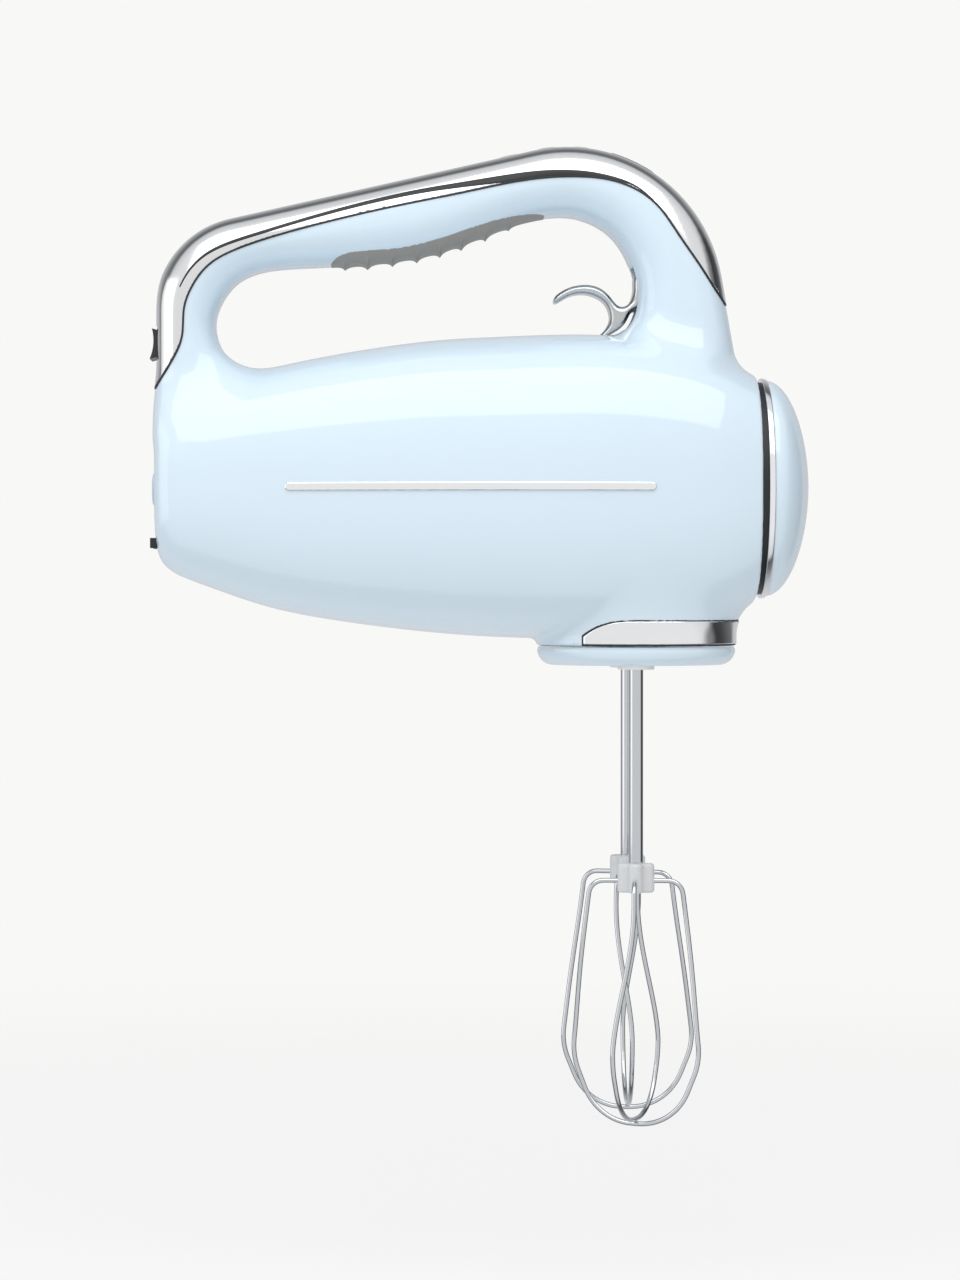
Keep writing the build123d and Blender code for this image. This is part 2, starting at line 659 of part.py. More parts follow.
# ---- controls -----------------------------------------------------------------------------------
def make_trigger():
    """Hooked lever: a finger lifts the hook, and the far end pushes the ejector down."""
    with BuildPart() as lever:
        with BuildSketch(Plane.XZ.offset(-TRIGGER_HALF)):
            with BuildLine():
                Spline((40.6, -29.4), (45, -26.2), (49.7, -24.7), (56.1, -25.8), (60.6, -29.2), (64.3, -32.2))
                Spline((64.3, -32.2), (67.2, -29.8), (68.6, -22.1))
                Polyline((68.6, -22.1), (76, -27), (94, -33.5), (94, -40.5), (89, -40.5), (76, -37.5), (66, -36.5))
                Spline((66, -36.5), (62.2, -40.2), (59.5, -45))
                Line((59.5, -45), (55.5, -45))
                Spline((55.5, -45), (59.2, -39.6), (60.1, -35.2), (58.7, -31.6), (53.4, -28.1), (45.5, -28.6),
                       (41.6, -30.6))
                Line((41.6, -30.6), (40.6, -29.4))
            make_face()
        extrude(amount=2 * TRIGGER_HALF)
        add(across(PIVOT_X, PIVOT_Z, -TRIGGER_HALF, TRIGGER_HALF, 4.5))
        add(across(PIVOT_X, PIVOT_Z, -20, 20, PIVOT_R + 0.05), mode=Mode.SUBTRACT)
    save(main_solid(lever.part), "release_trigger")
    save(across(PIVOT_X, PIVOT_Z, -CAVITY_HALF, CAVITY_HALF, PIVOT_R), "trigger_pin")


def make_switches():
    with BuildPart() as rocker:
        with BuildSketch(Plane.XZ.offset(-ROCKER_HALF_Y)):
            with BuildLine():
                ThreePointArc((-98.4, ROCKER_Z + ROCKER_HALF_Z), (-97.9, ROCKER_Z),
                              (-99.2, ROCKER_Z - ROCKER_HALF_Z))
                Polyline((-99.2, ROCKER_Z - ROCKER_HALF_Z), (-92, ROCKER_Z - 3.5), (-92, ROCKER_Z + 3.5),
                         (-98.4, ROCKER_Z + ROCKER_HALF_Z))
            make_face()
        extrude(amount=2 * ROCKER_HALF_Y)
        pin_end = ROCKER_LUG_Y + 1
        add(across(ROCKER_X, ROCKER_Z, -pin_end, pin_end, ROCKER_PIN_R))
    save(rocker.part, "power_switch")
    for name, (x, z) in BUTTONS.items():
        with BuildPart() as button:
            add(rod(x, 0, z - 4.4, z, BUTTON_R))
            add(rod(x, 0, z - 6, z - 4, 2.2))
            fillet(button.faces().sort_by(Axis.Z)[-1].edges(), 0.5)
        save(button.part, name)


def make_electrics():
    with BuildPart() as board:
        with Locations((36, 0, 8)):
            Box(50, 18, 1.6)
        for x, z in BUTTONS.values():
            with BuildSketch(Plane.XY.offset(8.6)):
                with Locations((x, 0)):
                    Rectangle(6, 6)
            extrude(amount=z - 7.6 - 8.6)
    save(board.part, "control_board")
    with BuildPart() as power:
        with Locations((-88, 0, -90)):
            Box(1.6, 34, 26)
        with Locations((-84.2, 8, -84)):
            Box(6, 10, 13)
        with Locations((-83.2, -8, -96)):
            Box(8, 10, 12)
    save(power.part, "power_board")


def make_rear():
    with BuildPart() as gland:
        with BuildSketch(Plane.XZ):
            with BuildLine():
                Line((REAR_X + 5, GLAND_Z + 3), (REAR_X, GLAND_Z + 3))
                ThreePointArc((REAR_X, GLAND_Z + 3), (REAR_X - 0.6, GLAND_Z + 4.4), (REAR_X, GLAND_Z + 5.8))
                Polyline((REAR_X, GLAND_Z + 5.8), (REAR_X + 5, GLAND_Z + 5.8), (REAR_X + 5, GLAND_Z + 3))
            make_face()
        revolve(axis=Axis((0, 0, GLAND_Z), (1, 0, 0)))
    save(gland.part, "cord_gland")
    save(feet(), "rear_feet")
    with BuildPart() as screws:
        for x, z in SCREWS:
            add(across(x, z, -8.8, SCREW_HEAD_Y - 3, SCREW_R))
            add(across(x, z, SCREW_HEAD_Y - 3, SCREW_HEAD_Y - 1, 2.8))
    save(screws.part, "housing_screws")


def make_accent():
    """A plain slim bar along each side of the barrel."""
    proud = barrel_form(-0.7)
    with BuildPart() as bars:
        add(trimmed(proud, (-52, -60, -97.3), (73, 60, -94.3)))
        add(barrel, mode=Mode.SUBTRACT)
    save(bars.part, "accent_bars")


make_housing()
make_trim()
make_grip()
make_nose()
make_collar()
make_stator()
make_brackets()
make_rotor()
make_gearbox()
make_spindle("left", -1)
make_spindle("right", 1)
make_beater("left", -1, NEAR_BEATER_TURN)
make_beater("right", 1, 0)
make_trigger()
make_switches()
make_electrics()
make_rear()
make_accent()
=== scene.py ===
import json
from math import cos, pi, radians, sin

import bmesh
import bpy
import numpy as np
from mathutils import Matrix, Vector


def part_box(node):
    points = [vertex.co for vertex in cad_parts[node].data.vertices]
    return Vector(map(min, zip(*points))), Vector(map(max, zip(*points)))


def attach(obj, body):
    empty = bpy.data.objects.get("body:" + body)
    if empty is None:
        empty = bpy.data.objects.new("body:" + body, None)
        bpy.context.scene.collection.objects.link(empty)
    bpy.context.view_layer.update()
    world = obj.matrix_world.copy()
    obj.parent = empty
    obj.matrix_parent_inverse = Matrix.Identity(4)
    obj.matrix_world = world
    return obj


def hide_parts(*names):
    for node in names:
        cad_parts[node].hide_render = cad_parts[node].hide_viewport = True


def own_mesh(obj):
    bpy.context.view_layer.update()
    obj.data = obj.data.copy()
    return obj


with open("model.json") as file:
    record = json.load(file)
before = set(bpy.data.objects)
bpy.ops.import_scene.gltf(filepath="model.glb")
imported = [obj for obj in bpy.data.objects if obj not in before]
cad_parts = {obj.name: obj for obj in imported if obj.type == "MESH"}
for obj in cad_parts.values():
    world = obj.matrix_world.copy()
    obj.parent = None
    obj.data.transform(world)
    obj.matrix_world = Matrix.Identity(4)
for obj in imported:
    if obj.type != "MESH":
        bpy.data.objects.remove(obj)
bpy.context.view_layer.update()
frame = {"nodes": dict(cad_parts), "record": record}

import openvdb
from mathutils import Vector

# Looks of the hand mixer. Lengths in this script are millimetres, in the row's frame.
# The housing, trim, grip and trigger are smooth solids given by distance fields: each function
# of (x, y, z) below is negative inside its solid, and about the distance to its surface near it.

MM = 0.001

NOSE_X = 110.0                        # front edge of the housing
REAR_X = -98.1
HANDLE_HALF, HANDLE_ROUND = 16.6, 13.0
COLLAR_X, COLLAR_RX, COLLAR_RY = 69.3, 34.5, 31.0
COLLAR_Z, COVER_Z = -150.0, -156.5    # undersides of the housing's collar and of the cover
BAND_LOW, BAND_HIGH, BAND_REAR, BAND_SWEEP = -149.2, -141.2, 49.2, 18.6
NOSE_Z, NOSE_HY, NOSE_HZ = -95.15, 33.4, 38.4        # the nose's middle and half sizes
ACCENT_X, ACCENT_Z, ACCENT_HALF, ACCENT_R = 10.5, -95.8, 61, 1.5
SPINDLE_X, SPINDLE_Y = 67.8, 19.0
HUB_TOP, HUB_LOW, WIRE_START, CAGE_LOW, WIRE_R = -224.2, -234.3, -230.2, -314.6, 0.85
BEATER_TOP, BEATER_R = -112.0, 2.5
NEAR_TURN, WIRE_TWIST = -24.5, 18.0   # degrees
SPRING_R, SPRING_WIRE, SPRING_TURNS, PLATE_TRAVEL = 5.0, 0.6, 5, 5.0
SEAM = 0.12                           # half the gap between the two housing halves
ROCKER_Z = -45.65
SLOT_AT, SLOT_HALF = (72, 0, -29.2), (12, 6.5, 10.7)       # the trigger's way into the housing
SECTION_POWER = 2.5                   # 2 is an ellipse, more is squarer
TRIM_PROUD = 0.3                      # how far the metal trim stands above the paint
SEAL_PROUD = 0.38                     # and the seal that borders it
MIRROR = np.array((1, -1, 1))         # from one side of the mixer to the other

# Barrel from rear to nose: X, top, bottom, half width
BARREL = np.array([
    (-104, -67, -119, 23), (-90, -63, -125.3, 27), (-75, -58.5, -131, 31.5), (-60, -54.4, -136, 35),
    (-40, -50, -140.3, 38.8), (-20, -46.6, -143.2, 41.5), (0, -44.1, -145.4, 43.4), (20, -42.9, -146.8, 44.6),
    (40, -42.1, -147.3, 45), (60, -42.3, -147, 44.3), (80, -45, -145.2, 42), (95, -49.2, -141.8, 39),
    (105, -53.6, -137.6, 35.6), (112, -57.2, -133.2, 32.6),
])
# Handle, finger opening, lower edge of the trim and top edge of the grip, in side view
HANDLE_CORNERS = [(106.2, -66), (88.4, 33.9), (-97.4, -8.5), (-97.4, -78)]
HANDLE_BENDS = [54, 33]
OPENING_OUTLINE = [
    (-76.6, -40), (-75.6, -33.5), (-71, -26), (-65, -21.8), (-56, -19.5), (-39, -18.4), (-13, -15.9), (5, -11.6),
    (25, -4.2), (35, -1.6), (43, -0.8), (50, -1.8), (57, -5), (62, -9.5), (66.2, -16.6), (68.6, -25), (68.6, -33),
    (68, -40), (66, -50), (40, -56), (0, -57), (-30, -59), (-50, -60), (-63, -58), (-70.3, -53), (-74.6, -47),
]
TRIM_EDGE = [
    (-118, -84), (-102.3, -67.5), (-96, -59.2), (-90.3, -50.6), (-87.5, -43.5), (-87, -35.6), (-85.4, -29.5),
    (-80.3, -21.3), (-69.9, -14.4), (-37.2, -4.3), (-9.7, 2), (6.3, 5.2), (23.3, 8.8), (37, 10.8), (48.6, 11.2),
    (57.8, 10.4), (67.2, 7.4), (75.7, 1.2), (82.4, -8.1), (89.3, -17.8), (94.4, -25.1), (99.5, -31.5), (122, -54),
]
# Black bead along the trim, a painted reflection of a dark flag on the chrome: X, Z and half width along it
REFLECTION_STRIPE = [
    (-88.3, -27, 0.25), (-85.5, -22, 0.4), (-78.5, -15.3, 0.55), (-61.1, -8.5, 0.65), (-37.2, -1.3, 0.75),
    (-9.7, 5.4, 0.9), (8, 8.3, 1.15), (22, 10.3, 1.45), (36, 12.1, 1.35), (48.6, 12.3, 1.1), (57.1, 11.3, 0.8),
    (67.2, 8.3, 0.4), (74, 3.2, 0.2),
]
GRIP_TOP = [
    (-40, -24), (-38.3, -20), (-35.2, -16.1), (-27.5, -13.8), (-15.2, -12.8), (1.2, -9.1), (14.8, -4.4), (26.6, -1.3),
    (36, -0.6), (42, -3), (44, -10),
]
GRIP_TIPS = [-32, -24.1, -15.4, -7, 1, 8.5, 16.9, 25, 34.1]
BUTTONS = {"turbo": 24.5, "speed_down": 38.0, "speed_up": 50.0}       # body and X
BUTTON_R, WELL_R = 4.4, 5.2


# ---- curves and distance fields ---------------------------------------------------------------
def cubic(xs, ys):
    """Natural cubic through the points, as a function."""
    xs, ys = np.asarray(xs, float), np.asarray(ys, float)
    h, n = np.diff(xs), len(xs)
    matrix, right = np.eye(n), np.zeros(n)
    for i in range(1, n - 1):
        matrix[i, i - 1:i + 2] = h[i - 1], 2 * (h[i - 1] + h[i]), h[i]
        right[i] = 6 * ((ys[i + 1] - ys[i]) / h[i] - (ys[i] - ys[i - 1]) / h[i - 1])
    bend = np.linalg.solve(matrix, right)

    def value(x):
        x = np.clip(x, xs[0], xs[-1])
        i = np.clip(np.searchsorted(xs, x) - 1, 0, n - 2)
        a, b = (xs[i + 1] - x) / h[i], (x - xs[i]) / h[i]
        curve = ((a ** 3 - a) * bend[i] + (b ** 3 - b) * bend[i + 1]) * h[i] ** 2 / 6
        return a * ys[i] + b * ys[i + 1] + curve

    return value


def smooth_path(points, closed=False, per_span=10):
    """Points along a cubic through the given ones, by chord length."""
    points = np.array(points, float)
    if closed:
        points = np.vstack([points[-3:], points, points[:3]])
    along = np.concatenate([[0], np.cumsum(np.sqrt(np.linalg.norm(np.diff(points, axis=0), axis=1)))])
    first, last = (3, len(points) - 3) if closed else (0, len(points) - 1)
    steps = np.linspace(along[first], along[last], (last - first) * per_span + 1)
    return np.stack([cubic(along, column)(steps) for column in points.T], axis=1)


def smooth_max(a, b, k):
    h = np.maximum(k - np.abs(a - b), 0) / k
    return np.maximum(a, b) + h * h * k / 4


def smooth_min(a, b, k):
    return -smooth_max(-a, -b, k)


def bend(corners, radii, steps=12):
    """An open path with its corners turned into arcs."""
    corners = [Vector(c) for c in corners]
    path = [corners[0]]
    for before, at, after, radius in zip(corners, corners[1:], corners[2:], radii):
        a, b = (before - at).normalized(), (after - at).normalized()
        half = a.angle(b) / 2
        reach = radius / np.tan(half)
        centre = at + (a + b).normalized() * (radius / sin(half))
        start, end = at + a * reach - centre, at + b * reach - centre
        sweep = start.angle(end)
        for t in np.linspace(0, 1, steps + 1):
            path.append(centre + (start * sin((1 - t) * sweep) + end * sin(t * sweep)) / sin(sweep))
    return [np.array(p) for p in path + [corners[-1]]]


def ramp(x, start, end):
    t = np.clip((x - start) / (end - start), 0, 1)
    return t * t * (3 - 2 * t)


class Outline:
    """Signed distance to a closed outline in the XZ plane, read from a smooth grid."""

    def __init__(self, points, step=1.0, margin=30.0):
        points = np.array(points, float)
        self.low, self.step = points.min(axis=0) - margin, step
        self.shape = np.ceil((points.max(axis=0) + margin - self.low) / step).astype(int)
        x = self.low[0] + step * np.arange(self.shape[0])[:, None]
        z = self.low[1] + step * np.arange(self.shape[1])[None, :]
        nearest = np.full(self.shape, 1e9)
        inside = np.zeros(self.shape, bool)
        for (x0, z0), (x1, z1) in zip(points, np.roll(points, -1, axis=0)):
            dx, dz = x1 - x0, z1 - z0
            t = np.clip(((x - x0) * dx + (z - z0) * dz) / (dx * dx + dz * dz + 1e-12), 0, 1)
            nearest = np.minimum(nearest, (x - x0 - t * dx) ** 2 + (z - z0 - t * dz) ** 2)
            if z0 != z1:
                inside ^= ((z0 > z) != (z1 > z)) & (x < x0 + dx * (z - z0) / dz)
        self.grid = np.where(inside, -1, 1) * np.sqrt(nearest)

    def __call__(self, x, z):
        x, z = np.broadcast_arrays(x, z)
        u = np.clip((x - self.low[0]) / self.step, 1, self.shape[0] - 3.001)
        v = np.clip((z - self.low[1]) / self.step, 1, self.shape[1] - 3.001)
        i, j = np.floor(u).astype(int), np.floor(v).astype(int)
        across, up = self.weights(u - i), self.weights(v - j)
        total = 0.0
        for a in range(4):
            for b in range(4):
                total = total + across[a] * up[b] * self.grid[i + a - 1, j + b - 1]
        return total

    @staticmethod
    def weights(t):
        """Cubic B-spline weights of the four grid points about a place."""
        return (1 - t) ** 3 / 6, (3 * t ** 3 - 6 * t ** 2 + 4) / 6, (3 * (t ** 2 + t - t ** 3) + 1) / 6, t ** 3 / 6


def slab(flat, y, half, rounding):
    """A solid whose side view is the flat field, half wide each way, with its edges rounded."""
    a, b = flat + rounding, np.abs(y) - (half - rounding)
    outside = np.sqrt(np.maximum(a, 0) ** 2 + np.maximum(b, 0) ** 2)
    return outside + np.minimum(np.maximum(a, b), 0) - rounding


def block(x, y, z, middle, half):
    """A square block, not rounded."""
    return np.max(np.broadcast_arrays(*(np.abs(c - m) - h for c, m, h in zip((x, y, z), middle, half))), axis=0)


def oval(u, v, half_u, half_v, power=2.0):
    """Distance to an oval, squarer as power grows."""
    a, b = np.abs(u) / half_u, np.abs(v) / half_v
    size = np.maximum((a ** power + b ** power) ** (1 / power), 0.25)
    slope = np.sqrt((a ** (power - 1) / half_u) ** 2 + (b ** (power - 1) / half_v) ** 2) * size ** (1 - power)
    return (size - 1) / np.maximum(slope, 0.2 / max(np.max(half_u), np.max(half_v)))


barrel_top, barrel_low, barrel_half = (cubic(BARREL[:, 0], BARREL[:, i]) for i in (1, 2, 3))
handle_outline = Outline(bend(HANDLE_CORNERS, HANDLE_BENDS, 24))
opening_outline = Outline(smooth_path(OPENING_OUTLINE, closed=True))
trim_outline = Outline(np.vstack([smooth_path(TRIM_EDGE), [(130, 60), (-125, 60)]]))
reflection_stripe_line = smooth_path(REFLECTION_STRIPE)
grip_outline = Outline(np.vstack([smooth_path(GRIP_TOP), [(44, -40), (-40, -40)]]), 0.6)


def barrel(x, y, z):
    top, low = barrel_top(x), barrel_low(x)
    return oval(y, z - (top + low) / 2, barrel_half(x), (top - low) / 2, SECTION_POWER)


def handle(x, y, z):
    ring = smooth_max(handle_outline(x, z), -opening_outline(x, z), 6.0)
    return slab(ring, y, HANDLE_HALF, HANDLE_ROUND)


def collar(x, y, z):
    return smooth_max(oval(x - COLLAR_X, y, COLLAR_RX, COLLAR_RY), z + 115, 2.0)


def paint(x, y, z):
    """Outer surface of the painted housing, before anything is let into it."""
    solid = smooth_max(barrel(x, y, z), REAR_X - x, 10.0)
    blend = 13.0 - 5.0 * (ramp(x, -75, -55) - ramp(x, 50, 72)) - 8.0 * ramp(x, 88, 103)
    solid = smooth_max(smooth_min(solid, handle(x, y, z), blend), REAR_X - 0.1 - x, 4.0)
    return smooth_min(solid, collar(x, y, z), 3.5 + 4.5 * ramp(x, 45, 70))


def housing(x, y, z):
    """The painted housing, let in below the trim and slotted for the trigger."""
    depth = paint(x, y, z)
    solid = smooth_max(smooth_max(depth, x - NOSE_X, 1.0), COLLAR_Z + 0.15 - z, 0.8)
    let_in = smooth_max(trim_outline(x, z) + 1.0, -1.3 - depth, 0.5)
    slot = block(x, y, z, SLOT_AT, SLOT_HALF)
    return smooth_max(smooth_max(solid, -let_in, 0.5), -slot, 0.8)


# ---- meshes ------------------------------------------------------------------------------------
def put(name, vertices, faces, body, normals=None):
    """A new smooth piece on a body, from millimetres in the row's frame."""
    mesh = bpy.data.meshes.new(name)
    mesh.from_pydata((np.asarray(vertices) * MM).tolist(), [], [list(map(int, f)) for f in faces])
    mesh.validate()
    mesh.shade_smooth()
    if normals is not None:
        mesh.normals_split_custom_set_from_vertices(normals.tolist())
    piece = bpy.data.objects.new(name, mesh)
    bpy.context.scene.collection.objects.link(piece)
    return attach(piece, body)


def slope_of(field, points, reach=0.05):
    """Value and gradient of a field at many points."""
    x, y, z = points.T
    gradient = np.stack([
        field(x + reach, y, z) - field(x - reach, y, z),
        field(x, y + reach, z) - field(x, y - reach, z),
        field(x, y, z + reach) - field(x, y, z - reach),
    ], axis=1) / (2 * reach)
    return field(x, y, z), gradient


def surface_of(field, low, high, step):
    """Vertices and quads of the surface where a field is zero inside a box."""
    axes = [np.arange(a - 2 * step, b + 3 * step, step) for a, b in zip(low, high)]
    x, y, z = np.meshgrid(*axes, indexing="ij", sparse=True)
    values = np.broadcast_to(field(x, y, z), [len(a) for a in axes])
    grid = openvdb.FloatGrid(3 * step)
    grid.copyFromArray(np.ascontiguousarray(np.clip(values, -3 * step, 3 * step), np.float32))
    points, quads = grid.convertToQuads(isovalue=0.0)
    points = np.asarray(points, float) * step + [a[0] for a in axes]
    for _ in range(4):
        value, gradient = slope_of(field, points)
        length = np.maximum((gradient ** 2).sum(1), 0.05)
        move = gradient * (value / length)[:, None]
        points = points - np.clip(move, -0.6 * step, 0.6 * step)
    return points, facing_out(points, np.asarray(quads, int))


def facing_out(points, faces):
    """Faces wound so that their normals point out of the solid."""
    quads = np.array([f for f in faces if len(f) == 4])
    a, b, c, d = (points[quads[:, i]] for i in range(4))
    volume = (np.cross(b - a, c - a) * a).sum() + (np.cross(c - a, d - a) * a).sum()
    return faces if volume > 0 else [f[::-1] for f in faces]


def unit_normals(field, points):
    _, gradient = slope_of(field, points)
    return gradient / np.maximum(np.linalg.norm(gradient, axis=1), 1e-9)[:, None]


def solid(name, field, low, high, step, body="root"):
    points, quads = surface_of(field, low, high, step)
    return put(name, points, quads, body, unit_normals(field, points))


def cut_at(points, quads, limit):
    """The part of a mesh with y above limit, cut clean along the plane."""
    mesh = bmesh.new()
    made = [mesh.verts.new(p) for p in points]
    for q in quads:
        if max(points[q, 1]) > limit and len(set(q.tolist())) == 4:
            mesh.faces.new([made[i] for i in q])
    everything = mesh.verts[:] + mesh.edges[:] + mesh.faces[:]
    bmesh.ops.bisect_plane(mesh, geom=everything, plane_co=(0, limit, 0), plane_no=(0, 1, 0), clear_inner=True)
    loose = [v for v in mesh.verts if not v.link_faces]
    bmesh.ops.delete(mesh, geom=loose, context="VERTS")
    mesh.verts.index_update()
    points = np.array([v.co for v in mesh.verts])
    faces = [[v.index for v in f.verts] for f in mesh.faces]
    mesh.free()
    return points, faces


def make_housing():
    """Two painted halves, mirrored, that meet along the middle with a fine seam."""
    points, quads = surface_of(housing, (-99, 0, -151), (111, 46.5, 24), 1.1)
    points, faces = cut_at(points, quads, SEAM)
    normals = unit_normals(housing, points)
    right = put("right_shell", points, faces, "root", normals)
    left = put("left_shell", points * MIRROR, [f[::-1] for f in faces], "root", normals * MIRROR)
    for piece, node in ((left, "left_housing"), (right, "right_housing")):
        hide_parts(node)
        dress(piece, body_gloss())
    band = np.abs(points[:, 1]) < 2.2
    keep = [f for f in faces if all(band[i] for i in f)]
    used = sorted({i for f in keep for i in f})
    place = {old: new for new, old in enumerate(used)}
    inner = points[used] - normals[used] * 0.45
    inner[:, 1] = np.where(inner[:, 1] < SEAM + 0.02, 0, inner[:, 1])
    lip = put("seam_lip", np.vstack([inner, inner * MIRROR]),
              [[place[i] for i in f] for f in keep] + [[place[i] + len(used) for i in f[::-1]] for f in keep], "root")
    dress(lip, body_gloss())


def skin(x, y, z, low, high):
    """The layer of the housing's surface between two depths, positive outwards."""
    depth = paint(x, y, z)
    return np.maximum(depth - high, low - depth)


def trim_field(x, y, z):
    """Metal shell over the top of the handle, with holes for the buttons and the rocker."""
    depth = paint(x, y, z)
    body = smooth_max(smooth_max(depth - TRIM_PROUD, -1.8 - depth, 0.5), trim_outline(x, z), 0.3)
    for at in BUTTONS.values():
        hole = smooth_max(np.sqrt((x - at) ** 2 + y ** 2) - 4.8, 8 - z, 0.5)
        body = smooth_max(body, -hole, 0.6)
    return smooth_max(body, -rocker_hole(x, y, z), 0.5)


def rocker_hole(x, y, z):
    """The opening at the rear of the handle that the power rocker sits in."""
    return np.maximum(np.maximum(np.abs(y) - 7.6, np.abs(z - ROCKER_Z) - 6.0), x + 90)


def evenly(path, step):
    """The same path with its points a step apart."""
    along = np.concatenate([[0], np.cumsum(np.linalg.norm(np.diff(path, axis=0), axis=1))])
    spots = np.linspace(0, along[-1], int(along[-1] / step) + 1)
    return np.stack([np.interp(spots, along, column) for column in path.T], axis=1)


def width_at(x, z, height):
    """How far out the housing's surface is at places in side view, raised by a height; nan beyond it."""
    low, high = np.zeros_like(x), np.full_like(x, 50.0)
    inside = paint(x, low, z) < height
    for _ in range(30):
        middle = (low + high) / 2
        within = paint(x, middle, z) < height
        low, high = np.where(within, middle, low), np.where(within, high, middle)
    return np.where(inside, low, np.nan)


def inlay(line, half, top):
    """Cross sections of a bead that follows the surface along a line in side view, on the right side."""
    along = np.gradient(line, axis=0)
    square = np.stack([-along[:, 1], along[:, 0]], axis=1) / np.linalg.norm(along, axis=1)[:, None]
    rows = []
    for share in (-1, -0.8, -0.3, 0.3, 0.8, 1):
        spot = line + square * np.broadcast_to(half * share, len(line))[:, None]
        height = top - 0.15 * (abs(share) == 1)
        rows.append(np.stack([spot[:, 0], width_at(spot[:, 0], spot[:, 1], height), spot[:, 1]], axis=1))
    upper = np.stack(rows, axis=1)
    upper = upper[~np.isnan(upper).any(axis=(1, 2))]
    inward = unit_normals(paint, upper.reshape(-1, 3)).reshape(upper.shape)
    return np.concatenate([upper, (upper - 1.3 * inward)[:, [5, 0]]], axis=1)


def loft(count, sides, ring):
    """Faces through a row of closed cross sections, either a closed ring or with both ends capped."""
    faces = [(r * sides + i, r * sides + (i + 1) % sides, (r + 1) % count * sides + (i + 1) % sides,
              (r + 1) % count * sides + i) for r in range(count if ring else count - 1) for i in range(sides)]
    if not ring:
        last = (count - 1) * sides
        faces += [tuple(range(sides))[::-1], tuple(range(last, last + sides))]
    return faces


def joined(sections, ring):
    """Vertices and faces of a bead through its cross sections."""
    points = sections.reshape(-1, 3)
    return points, facing_out(points, loft(*sections.shape[:2], ring))


def gather(parts):
    """Several vertex and face lists as one."""
    vertices, faces = [], []
    for points, quads in parts:
        start = sum(len(v) for v in vertices)
        faces += [[start + i for i in f] for f in quads]
        vertices.append(points)
    return np.vstack(vertices), faces


def make_trim():
    """Metal trim over the handle, with the seal along its edge, a black bead on it that is a painted reflection of a
    dark flag, and the button wells.
    """
    trim = solid("handle_trim", trim_field, (-99, -18, -60), (103, 18, 24), 0.62)
    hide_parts("top_trim")
    dress(trim, trim_chrome())

    def well_field(x, y, z):
        reach = np.min([np.sqrt((x - at) ** 2 + y ** 2) for at in BUTTONS.values()], axis=0)
        return smooth_max(skin(x, y, z, -1.9, -1.0), np.maximum(reach - WELL_R, 5 - z), 0.2)

    edge = inlay(evenly(smooth_path(TRIM_EDGE), 0.4), 0.36, SEAL_PROUD)
    # The black bead along the trim is a painted reflection: it stands for a dark flag mirrored in the chrome.
    stripe_path = evenly(reflection_stripe_line, 0.6)
    reflection_stripe = inlay(stripe_path[:, :2], np.maximum(stripe_path[:, 2], 0.15), SEAL_PROUD)
    vertices, faces = gather([
        surface_of(well_field, (18, -7, 8), (57, 7, 24), 0.5),
        joined(np.vstack([edge, edge[::-1] * MIRROR]), True), joined(reflection_stripe, False), joined(reflection_stripe * MIRROR, False),
    ])
    seal = put("trim_seal_and_painted_reflection", vertices, faces, "root")
    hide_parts("trim_seal")
    dress(seal, black_rubber_and_painted_reflection())


def grip_field(x, y, z):
    """Rubber pad with nine pointed ribs that fade out towards its top edge."""
    depth, border = handle(x, y, z), grip_outline(x, z)
    ribs = sum(np.exp(-np.abs(x - tip) / 1.7) for tip in GRIP_TIPS)
    height = 0.1 + 1.85 * ribs * ramp(-border, 1.0, 6.0)
    return smooth_max(smooth_max(depth - height, -2.5 - depth, 0.5), border, 0.8)


def make_grip():
    """Rubber pad under the handle."""
    grip = solid("rubber_grip", grip_field, (-41, -18, -24), (43, 18, 2), 0.55)
    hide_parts("grip_insert")
    dress(grip, grip_rubber())


# ---- turned pieces -----------------------------------------------------------------------------
def turned(name, profile, body, plane, sides=128):
    """A closed lathe solid. profile is (distance out, height) pairs; plane turns them into space."""
    rings = []
    for out, height in profile:
        for i in range(sides):
            rings.append(plane(out, height, 2 * pi * i / sides))
    vertices = np.array(rings)
    return put(name, vertices, facing_out(vertices, loft(len(profile), sides, True)), body)


def rounded(corners, radius, steps=5):
    """A closed profile with every corner rounded by an arc."""
    corners = np.array(corners, float)
    out = []
    for before, at, after in zip(np.roll(corners, 1, 0), corners, np.roll(corners, -1, 0)):
        a, b = before - at, after - at
        la, lb = np.linalg.norm(a), np.linalg.norm(b)
        reach = min(radius, 0.49 * la, 0.49 * lb)
        p, q = at + a / la * reach, at + b / lb * reach
        for t in np.linspace(0, 1, steps):
            out.append((1 - t) ** 2 * p + 2 * t * (1 - t) * at + t * t * q)
    return out


def nose_plane(half_y, half_z):
    """Turns about the nose's axis; out is added to an oval of these half sizes."""
    def place(out, height, angle):
        return (height, (half_y + out) * cos(angle), NOSE_Z + (half_z + out) * sin(angle))
    return place


